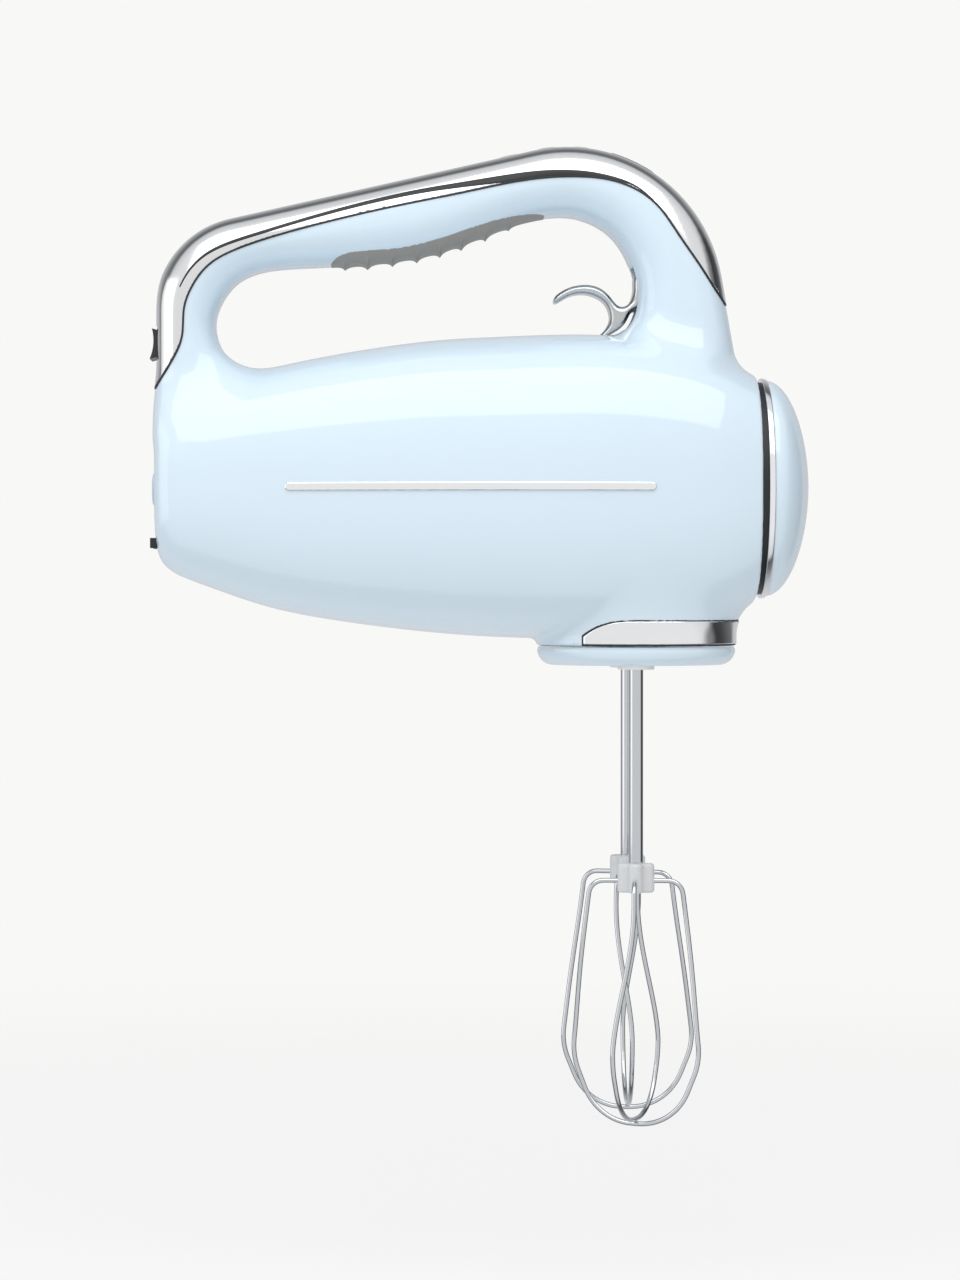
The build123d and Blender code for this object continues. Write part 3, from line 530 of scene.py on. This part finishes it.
def make_nose():
    """Dark gap, metal ring and painted dome at the front."""
    gasket = turned("nose_gap_seal", rounded([(-5, 109.4), (-1.5, 109.4), (-1.5, 112.6), (-5, 112.6)], 0.3), "root",
                    nose_plane(NOSE_HY, NOSE_HZ))
    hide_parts("nose_gasket")
    dress(gasket, black_rubber_and_painted_reflection())
    ring = turned("nose_trim_ring", rounded([(-5, 112.2), (0, 112.2), (-0.4, 114.4), (-5, 114.4)], 0.6), "root",
                  nose_plane(NOSE_HY, NOSE_HZ))
    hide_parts("nose_ring")
    dress(ring, chrome())
    dome = [(0.0, 114.2)]
    for angle in np.linspace(0, pi / 2, 28):
        dome.append((max(cos(angle), 0) ** 1.1, 114.2 + 14.9 * sin(angle)))

    def place(out, height, angle):
        return (height, (NOSE_HY - 0.9) * out * cos(angle), NOSE_Z + (NOSE_HZ - 0.9) * out * sin(angle))

    cap = turned("nose_dome", [(max(out, 0.001), height) for out, height in dome], "root", place)
    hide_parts("nose_cap")
    dress(cap, body_gloss())


def collar_plane(out, height, angle):
    return (COLLAR_X + (COLLAR_RX + out) * cos(angle), (COLLAR_RY + out) * sin(angle), height)


def make_collar():
    """Cover under the collar, and the steel band round the front of the collar in its dark gap."""
    cover = turned("collar_cover", rounded([(-30, COLLAR_Z), (0, COLLAR_Z - 0.1)], 0.5) +
                   [(-5.5 + 5.5 * cos(a), COVER_Z + 5.5 - 5.5 * sin(a)) for a in np.linspace(0.05, pi / 2, 12)] +
                   [(-12, COVER_Z), (-30, COVER_Z)], "root", collar_plane)
    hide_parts("bottom_cover")
    dress(cover, body_gloss())

    def band_shape(x, z, grow):
        """Side view of the band: full height in front, sweeping down to a short upright rear end."""
        rear = BAND_REAR - grow
        rise = np.clip((x - rear) / BAND_SWEEP, 0, 1)
        top = BAND_LOW + (BAND_HIGH - BAND_LOW) * (1 - 0.67 * (1 - rise) ** 3) + grow
        return np.maximum(np.maximum(z - top, BAND_LOW - grow - z), rear - x)

    def band_field(x, y, z):
        depth = paint(x, y, z)
        return smooth_max(smooth_max(depth - 0.45, -1.5 - depth, 0.4), band_shape(x, z, 0.0), 0.5)

    def gap_field(x, y, z):
        return smooth_max(skin(x, y, z, -1.5, 0.12), band_shape(x, z, 0.45), 0.2)

    low, high = (48, -33, -151), (106, 33, -139)
    band = solid("collar_steel_band", band_field, low, high, 0.5)
    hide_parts("collar_band")
    dress(band, band_steel())
    gap = solid("collar_band_gap", gap_field, low, high, 0.5)
    dress(gap, black_rubber_and_painted_reflection())


def make_accent():
    """A plain slim metal bar along each side."""
    def field(x, y, z):
        depth = paint(x, y, z)
        ends = np.sqrt(np.maximum(np.abs(x - ACCENT_X) - ACCENT_HALF, 0) ** 2 + (z - ACCENT_Z) ** 2) - ACCENT_R
        return smooth_max(smooth_max(depth - 0.7, -0.8 - depth, 0.3), ends, 0.7)

    bars = solid("side_accent_bars", field, (-53, -47, -98), (74, 47, -93.5), 0.5)
    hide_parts("accent_bars")
    dress(bars, chrome())


# ---- trigger -------------------------------------------------------------------------------------
HOOK = [
    (40.4, -29.6), (41.6, -28), (45.2, -25.9), (49.7, -24.8), (54, -25), (57.6, -26.6), (60.4, -29.4), (62.4, -31.7),
    (64.3, -32.3), (66.2, -31.4), (67.5, -29.2), (68.1, -25.6), (68.5, -21.8), (72, -21.2),
]
LEVER = [(78, -24), (93.5, -33), (94, -36.5), (93, -40), (89, -40.4), (76, -36.4), (70, -33.5)]
STEM = [
    (67.2, -34.4), (65.4, -37.6), (62.4, -40.4), (59, -42.6), (55.5, -45.2), (53.2, -44.6), (55.8, -42.4),
    (58.3, -40), (59.8, -37), (59.6, -33.8), (57.6, -30.4), (53.6, -28.2), (49.7, -27.7), (45.6, -28.6),
    (42, -30.6), (40.6, -30.9),
]


def make_trigger():
    """Hooked trigger: hook, lever and stem in one rounded outline."""
    outline = Outline(smooth_path(HOOK + LEVER + STEM, closed=True, per_span=6), 0.3, 6.0)

    def field(x, y, z):
        return slab(outline(x, z), y, 5.8, 2.3)

    trigger = solid("hook_trigger", field, (39, -6.5, -46), (96, 6.5, -20), 0.4, "trigger")
    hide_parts("release_trigger")
    # The trigger's chrome is darkened below the trim's: painted shade.
    dress(trigger, shade_darkened_trigger_chrome())


# ---- small round pieces ---------------------------------------------------------------------------
def make_buttons():
    """Domed caps on the handle, each on its own body."""
    for body, at in BUTTONS.items():
        def field(x, y, z, at=at):
            reach = np.sqrt((x - at) ** 2 + y ** 2)
            crown = 0.9 - 0.4 * (reach / BUTTON_R) ** 2
            return smooth_max(smooth_max(paint(x, y, z) - crown, reach - BUTTON_R, 0.5), 14 - z, 0.5)

        cap = solid(body + "_button_cap", field, (at - 5, -5, 12), (at + 5, 5, 25), 0.35, body)
        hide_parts(body + "_button")
        dress(cap, button_plastic())


def make_display():
    """Dark glass pane on top of the handle."""
    def field(x, y, z):
        plan = np.sqrt(np.maximum(np.abs(x - 67.5) - 5.7, 0) ** 2 + np.maximum(np.abs(y) - 4.2, 0) ** 2) - 1.8
        depth = paint(x, y, z)
        return smooth_max(smooth_max(depth - TRIM_PROUD - 0.15, -1.5 - depth, 0.3), smooth_max(plan, 5 - z, 0.3), 0.3)

    glass = solid("display_glass_pane", field, (59, -7, 8), (76, 7, 22), 0.45)
    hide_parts("display_window")
    dress(glass, display_glass())


def tube(path, across, radius, sides=20):
    """Vertices and faces of a round rod along a path, its ends closed. across is square to the path."""
    along = np.gradient(path, axis=0)
    along /= np.linalg.norm(along, axis=1)[:, None]
    square = across - (across * along).sum(1)[:, None] * along
    square /= np.linalg.norm(square, axis=1)[:, None]
    other = np.cross(square, along)
    rings = []
    for p, u, v in zip(path, square, other):
        rings += [p + radius * (cos(a) * u + sin(a) * v) for a in np.arange(sides) * 2 * pi / sides]
    return np.array(rings), loft(len(path), sides, False)


def whisk_wire(turn, twist, lift):
    """One closed loop of wire, twisted towards its top, its bottom lifted over the other loop's."""
    low = CAGE_LOW + WIRE_R + lift
    side = [(4.0, WIRE_START), (15.6, WIRE_START), (23.3, -291.0), (14.0, low)]
    path = [(r, z) for r, z in side] + [(-r, z) for r, z in side[::-1]]
    out, z = evenly(np.array(bend(path, [5, 22, 19, 19, 22, 5])), 1.2).T
    angle = turn + twist * (1 - ramp(-z, 238, 288))
    path = np.stack([out * np.cos(angle), out * np.sin(angle), z], axis=1)
    return tube(path, np.stack([-np.sin(angle), np.cos(angle), 0 * z], axis=1), WIRE_R)


def make_beater(side, y, turn, twist):
    """Wires, hub and shaft of one beater. Angles are in degrees."""
    here = np.array((SPINDLE_X, y, 0))
    turn, twist = radians(turn), radians(twist)
    wires = [whisk_wire(turn, twist, 0.0), whisk_wire(turn + pi / 2, twist, 2 * WIRE_R)]
    turn += twist
    vertices, faces = gather(wires)
    piece = put(side + "_whisk_wires", vertices + here, faces, "beater_" + side)
    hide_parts("beater_wires_" + side)
    dress(piece, beater_steel())

    def hub(x, y, z):
        u, v = x * cos(turn) + y * sin(turn), y * cos(turn) - x * sin(turn)
        plan = np.hypot(u, v) - 4.3
        for a, b in ((3.9, 0), (-3.9, 0), (0, 3.9), (0, -3.9)):
            plan = smooth_min(plan, np.hypot(u - a, v - b) - 2.45, 0.9)
        return slab(plan, z - (HUB_TOP + HUB_LOW) / 2, (HUB_TOP - HUB_LOW) / 2, 1.1)

    def placed(x, y, z):
        return hub(x - here[0], y - here[1], z)

    hub_piece = solid(side + "_whisk_hub", placed, here + (-7, -7, HUB_LOW), here + (7, 7, HUB_TOP), 0.4,
                      "beater_" + side)
    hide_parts("beater_hub_" + side)
    dress(hub_piece, hub_plastic())

    def about(out, height, angle):
        return (SPINDLE_X + out * cos(angle), y + out * sin(angle), height)

    shaft = turned(side + "_whisk_shaft", rounded(
        [(0.01, BEATER_TOP), (BEATER_R, BEATER_TOP), (BEATER_R, HUB_TOP - 1), (0.01, HUB_TOP - 1)], 0.5),
        "beater_" + side, about, 48)
    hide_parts("beater_shaft_" + side)
    dress(shaft, beater_steel())


def make_spring():
    """Ejector spring, a coil as long as the CAD spring. The real one shortens as the ejector plate comes down on it;
    this coil is built at one length.
    """
    low, high = (corner.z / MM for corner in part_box("ejector_spring"))
    share = np.linspace(0, 1, 24 * SPRING_TURNS + 1)
    angle = 2 * pi * SPRING_TURNS * share
    path = np.stack([SPINDLE_X + SPRING_R * np.cos(angle), SPRING_R * np.sin(angle),
                     low + SPRING_WIRE + (high - low - 2 * SPRING_WIRE) * share], axis=1)
    spring = put("ejector_return_spring", *tube(path, np.tile([0.0, 0.0, 1.0], (len(path), 1)), SPRING_WIRE), "root")
    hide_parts("ejector_spring")
    dress(spring, material("carried_spring_steel", (0.50, 0.50, 0.50), 0.30, 1.0, bump=0.08))
    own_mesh(spring)


def make_bushes():
    """Pale bushes that the beaters go up into, two in the cover."""
    for side, y in (("left", -SPINDLE_Y), ("right", SPINDLE_Y)):
        def about(out, height, angle, y=y):
            return (SPINDLE_X + out * cos(angle), y + out * sin(angle), height)

        ring = turned(side + "_bush_rim", rounded(
            [(5.4, COVER_Z + 1), (6.3, COVER_Z + 1), (6.3, COVER_Z - 1.2), (5.4, COVER_Z - 1.2)], 0.35),
            "root", about, 64)
        dress(ring, bush_plastic())


# ---- materials -------------------------------------------------------------------------------------
def material(name, colour, roughness, metallic=0.0, tint=0.03, spread=0.05, grain=900.0, bump=0.03,
             wear=40.0, stretch=(1, 1, 1), coat=0.0, subsurface=0.0):
    """A node material: colour and roughness that vary softly, and a fine bump, all procedural."""
    found = bpy.data.materials.get(name)
    if found:
        return found
    made = bpy.data.materials.new(name)
    made.use_nodes = True
    nodes, links = made.node_tree.nodes, made.node_tree.links
    shader = nodes["Principled BSDF"]
    shader.inputs["Metallic"].default_value = metallic
    shader.inputs["Coat Weight"].default_value = coat
    shader.inputs["Coat Roughness"].default_value = 0.03
    if subsurface:
        shader.inputs["Subsurface Weight"].default_value = subsurface
        shader.inputs["Subsurface Radius"].default_value = (0.002, 0.002, 0.002)
    where = nodes.new("ShaderNodeTexCoord")
    mapping = nodes.new("ShaderNodeMapping")
    mapping.inputs["Scale"].default_value = stretch
    links.new(where.outputs["Object"], mapping.inputs["Vector"])

    def noise(scale, detail):
        node = nodes.new("ShaderNodeTexNoise")
        node.inputs["Scale"].default_value = scale
        node.inputs["Detail"].default_value = detail
        links.new(mapping.outputs["Vector"], node.inputs["Vector"])
        return node.outputs["Fac"]

    cloud = noise(wear, 3)
    blend = nodes.new("ShaderNodeMix")
    blend.data_type = "RGBA"
    blend.inputs["A"].default_value = (*[c * (1 - tint) for c in colour], 1)
    blend.inputs["B"].default_value = (*[min(c * (1 + tint), 1) for c in colour], 1)
    links.new(cloud, blend.inputs["Factor"])
    links.new(blend.outputs["Result"], shader.inputs["Base Color"])
    rough = nodes.new("ShaderNodeMapRange")
    rough.inputs["To Min"].default_value = max(roughness - spread, 0.01)
    rough.inputs["To Max"].default_value = roughness + spread
    links.new(noise(wear * 3, 4), rough.inputs["Value"])
    links.new(rough.outputs["Result"], shader.inputs["Roughness"])
    relief = nodes.new("ShaderNodeBump")
    relief.inputs["Strength"].default_value = bump
    relief.inputs["Distance"].default_value = 0.0002
    links.new(noise(grain, 5), relief.inputs["Height"])
    links.new(relief.outputs["Normal"], shader.inputs["Normal"])
    return made


def dress(piece, look):
    """Give a piece or a carried-over node one material."""
    if not piece.material_slots:
        piece.data.materials.append(look)
    for slot in piece.material_slots:
        slot.material = look


def body_gloss():
    return material("body_gloss_paint", (0.645, 0.765, 0.86), 0.07, spread=0.02, tint=0.015, bump=0.012, grain=500,
                    coat=0.6)


def chrome():
    return material("bright_chrome", (0.95, 0.95, 0.955), 0.07, 1.0, tint=0.02, spread=0.03, bump=0.01)


def trim_chrome():
    return material("satin_trim_chrome", (0.84, 0.84, 0.845), 0.15, 1.0, tint=0.02, spread=0.03, bump=0.01)


# A darker copy of the trim chrome: painted shade on the trigger.
def shade_darkened_trigger_chrome():
    return material("painted_shade_trigger_chrome", (0.60, 0.60, 0.60), 0.16, 1.0, tint=0.03, spread=0.04, bump=0.02)


def band_steel():
    return material("polished_band_steel", (0.92, 0.92, 0.925), 0.11, 1.0, tint=0.04, spread=0.05, bump=0.03,
                    stretch=(1, 1, 25), grain=300)


def beater_steel():
    return material("beater_bright_steel", (0.64, 0.65, 0.67), 0.12, 1.0, spread=0.05, bump=0.03)


# Black rubber for the seals and gaps, also used for the trim's black bead, which is a painted reflection.
def black_rubber_and_painted_reflection():
    return material("black_seal_rubber_and_painted_reflection", (0.012, 0.013, 0.015), 0.45, bump=0.15)


def grip_rubber():
    return material("grey_grip_rubber", (0.30, 0.29, 0.27), 0.55, tint=0.06, spread=0.08, bump=0.25, grain=1500)


def display_glass():
    return material("smoked_display_glass", (0.01, 0.011, 0.014), 0.06, spread=0.02, bump=0.005, coat=1.0)


def button_plastic():
    return material("grey_button_plastic", (0.42, 0.43, 0.45), 0.30, spread=0.06, bump=0.08)


def hub_plastic():
    return material("pale_hub_plastic", (0.63, 0.64, 0.65), 0.35, spread=0.06, bump=0.06, subsurface=0.1)


def bush_plastic():
    return material("pale_bush_plastic", (0.82, 0.83, 0.82), 0.4, spread=0.06, bump=0.06)


NODE_LOOKS = {
    # slot: colour, roughness, metallic and a bump strength, for nodes that keep their CAD shape
    "board_green": ((0.02, 0.16, 0.07), 0.40, 0.0, 0.20),
    "gland_plastic": ((0.50, 0.62, 0.75), 0.35, 0.0, 0.10),
    "feet_rubber": ((0.02, 0.02, 0.022), 0.70, 0.0, 0.30),
    "screw_steel": ((0.55, 0.56, 0.58), 0.28, 1.0, 0.10),
    "core_steel": ((0.20, 0.20, 0.21), 0.45, 1.0, 0.30),
    "copper": ((0.72, 0.32, 0.12), 0.35, 1.0, 0.30),
    "bracket_metal": ((0.50, 0.51, 0.52), 0.42, 1.0, 0.20),
    "bearing_steel": ((0.62, 0.63, 0.65), 0.22, 1.0, 0.08),
    "brush_brass": ((0.75, 0.55, 0.22), 0.30, 1.0, 0.10),
    "carbon": ((0.02, 0.02, 0.02), 0.65, 0.0, 0.25),
    "gear_white": ((0.78, 0.78, 0.74), 0.42, 0.0, 0.10),
    "gearbox_grey": ((0.16, 0.17, 0.18), 0.45, 0.0, 0.20),
    "bush_pale": ((0.80, 0.80, 0.76), 0.42, 0.0, 0.10),
    "spring_steel": ((0.50, 0.50, 0.50), 0.30, 1.0, 0.08),
    "fan_black": ((0.03, 0.03, 0.03), 0.40, 0.0, 0.15),
    "switch_dark": ((0.02, 0.021, 0.024), 0.34, 0.0, 0.20),
}


def dress_nodes():
    """Materials for the CAD nodes that stay as they are."""
    for part in frame["record"]["subparts"]:
        look = NODE_LOOKS.get(part["material_slot"])
        if look:
            colour, roughness, metallic, bump = look
            name = "carried_" + part["material_slot"]
            dress(frame["nodes"][part["node"]], material(name, colour, roughness, metallic, bump=bump))


# ---- stage -------------------------------------------------------------------------------------------
CAMERA_AT, CAMERA_TO, LENS = (-19.8, -1150, -134), (14.9, 0, -147.9), 93.0
FLOOR_Z = -372.0                      # low enough for a beater that is pulled out
FLOOR_TINT, FLOOR_GLOW, FLOOR_FADE = (0.30, 0.30, 0.30), 0.66, (0.35, 1.0)
BACKGROUND = (0.94, 0.94, 0.925)
ROOM_BRIGHT_WAY, ROOM_FLAG_WAY = (0.0, -0.95, 0.31), (0.956, 0.292, 0.0)
ROOM_SHADES = [      # from behind the mixer round to the front: place, colour
    (0.0, (0.64, 0.65, 0.67)), (0.17, (0.50, 0.51, 0.53)), (0.35, (0.18, 0.185, 0.19)), (0.45, (0.11, 0.115, 0.12)),
    (0.52, (0.66, 0.68, 0.70)), (0.70, (0.82, 0.83, 0.84)), (1.0, (0.83, 0.84, 0.84)),
]


def pale_floor():
    """A plain pale surface that fades out into the background well away from the object."""
    made = bpy.data.materials.new("pale_floor")
    made.use_nodes = True
    nodes, links = made.node_tree.nodes, made.node_tree.links
    shader = nodes["Principled BSDF"]
    shader.inputs["Base Color"].default_value = (*FLOOR_TINT, 1)
    shader.inputs["Roughness"].default_value = 0.9
    shader.inputs["Specular IOR Level"].default_value = 0.0
    shader.inputs["Emission Color"].default_value = (1, 1, 0.99, 1)
    shader.inputs["Emission Strength"].default_value = FLOOR_GLOW
    where, reach = nodes.new("ShaderNodeTexCoord"), nodes.new("ShaderNodeVectorMath")
    reach.operation = "LENGTH"
    fade, clear, mix = (nodes.new("ShaderNode" + kind) for kind in ("MapRange", "BsdfTransparent", "MixShader"))
    fade.interpolation_type = "SMOOTHSTEP"
    fade.inputs["From Min"].default_value, fade.inputs["From Max"].default_value = FLOOR_FADE
    links.new(where.outputs["Object"], reach.inputs[0])
    links.new(reach.outputs["Value"], fade.inputs["Value"])
    links.new(fade.outputs["Result"], mix.inputs[0])
    links.new(shader.outputs["BSDF"], mix.inputs[1])
    links.new(clear.outputs["BSDF"], mix.inputs[2])
    links.new(mix.outputs["Shader"], nodes["Material Output"].inputs["Surface"])
    return made


def make_floor():
    mesh = bpy.data.meshes.new("studio_floor")
    made = bmesh.new()
    bmesh.ops.create_circle(made, cap_ends=True, segments=96, radius=FLOOR_FADE[1] * 1.05)
    made.to_mesh(mesh)
    made.free()
    floor = bpy.data.objects.new("studio_floor", mesh)
    floor.location.z = FLOOR_Z * MM
    bpy.context.scene.collection.objects.link(floor)
    floor.visible_glossy = False
    mesh.materials.append(pale_floor())


def aimed(thing, place, target):
    place, target = Vector(place) * MM, Vector(target) * MM
    thing.location = place
    thing.rotation_euler = (target - place).to_track_quat("-Z", "Y").to_euler()


def softbox(name, place, target, wide, high, power, shade=(1, 1, 1)):
    lamp = bpy.data.lights.new(name, "AREA")
    lamp.shape, lamp.size, lamp.size_y = "RECTANGLE", wide * MM, high * MM
    lamp.energy, lamp.color = power, shade
    thing = bpy.data.objects.new(name, lamp)
    bpy.context.scene.collection.objects.link(thing)
    aimed(thing, place, target)
    return thing


def make_world():
    """Even background for the camera. The mixer reflects a bright room with a dark stripe and a dark flag."""
    world = bpy.data.worlds.new("studio_world")
    bpy.context.scene.world = world
    world.use_nodes = True
    nodes, links = world.node_tree.nodes, world.node_tree.links
    room, seen = nodes["Background"], nodes.new("ShaderNodeBackground")
    seen.inputs["Color"].default_value = (*BACKGROUND, 1)
    path, mix = nodes.new("ShaderNodeLightPath"), nodes.new("ShaderNodeMixShader")
    place, dot = nodes.new("ShaderNodeTexCoord"), nodes.new("ShaderNodeVectorMath")
    shift, shades = nodes.new("ShaderNodeMapRange"), nodes.new("ShaderNodeValToRGB")
    dot.operation = "DOT_PRODUCT"
    dot.inputs[1].default_value = ROOM_BRIGHT_WAY
    shift.inputs["From Min"].default_value = -1.0
    links.new(place.outputs["Generated"], dot.inputs[0])
    links.new(dot.outputs["Value"], shift.inputs["Value"])
    links.new(shift.outputs["Result"], shades.inputs["Fac"])
    stops = shades.color_ramp.elements
    while len(stops) < len(ROOM_SHADES):
        stops.new(0.5)
    for stop, (at, shade) in zip(stops, ROOM_SHADES):
        stop.position, stop.color = at, (*shade, 1)
    links.new(shades.outputs["Color"], room.inputs["Color"])
    aside, flag = nodes.new("ShaderNodeVectorMath"), nodes.new("ShaderNodeMapRange")
    aside.operation = "DOT_PRODUCT"
    aside.inputs[1].default_value = ROOM_FLAG_WAY
    flag.inputs["From Min"].default_value, flag.inputs["From Max"].default_value = 0.82, 0.90
    flag.inputs["To Min"].default_value, flag.inputs["To Max"].default_value = 1.0, 0.32
    links.new(place.outputs["Generated"], aside.inputs[0])
    links.new(aside.outputs["Value"], flag.inputs["Value"])
    links.new(flag.outputs["Result"], room.inputs["Strength"])
    links.new(path.outputs["Is Camera Ray"], mix.inputs[0])
    links.new(room.outputs["Background"], mix.inputs[1])
    links.new(seen.outputs["Background"], mix.inputs[2])
    links.new(mix.outputs["Shader"], nodes["World Output"].inputs["Surface"])


def make_studio():
    make_floor()
    make_world()
    softbox("top_front_softbox", (10, -480, 640), (10, 0, -90), 1500, 760, 5.2)
    softbox("left_softbox", (-1100, -100, 0), (0, 0, -120), 900, 900, 2)
    camera = bpy.data.cameras.new("studio_camera")
    camera.lens, camera.sensor_width, camera.clip_start = LENS, 36.0, 0.05
    thing = bpy.data.objects.new("studio_camera", camera)
    bpy.context.scene.collection.objects.link(thing)
    aimed(thing, CAMERA_AT, CAMERA_TO)
    bpy.context.scene.camera = thing
    bpy.context.scene.view_settings.view_transform = "Standard"


dress_nodes()
make_housing()
make_trim()
make_grip()
make_nose()
make_collar()
make_accent()
make_trigger()
make_buttons()
make_display()
make_beater("left", -SPINDLE_Y, NEAR_TURN, WIRE_TWIST)
make_beater("right", SPINDLE_Y, 0.0, -WIRE_TWIST)
make_bushes()
make_spring()
make_studio()
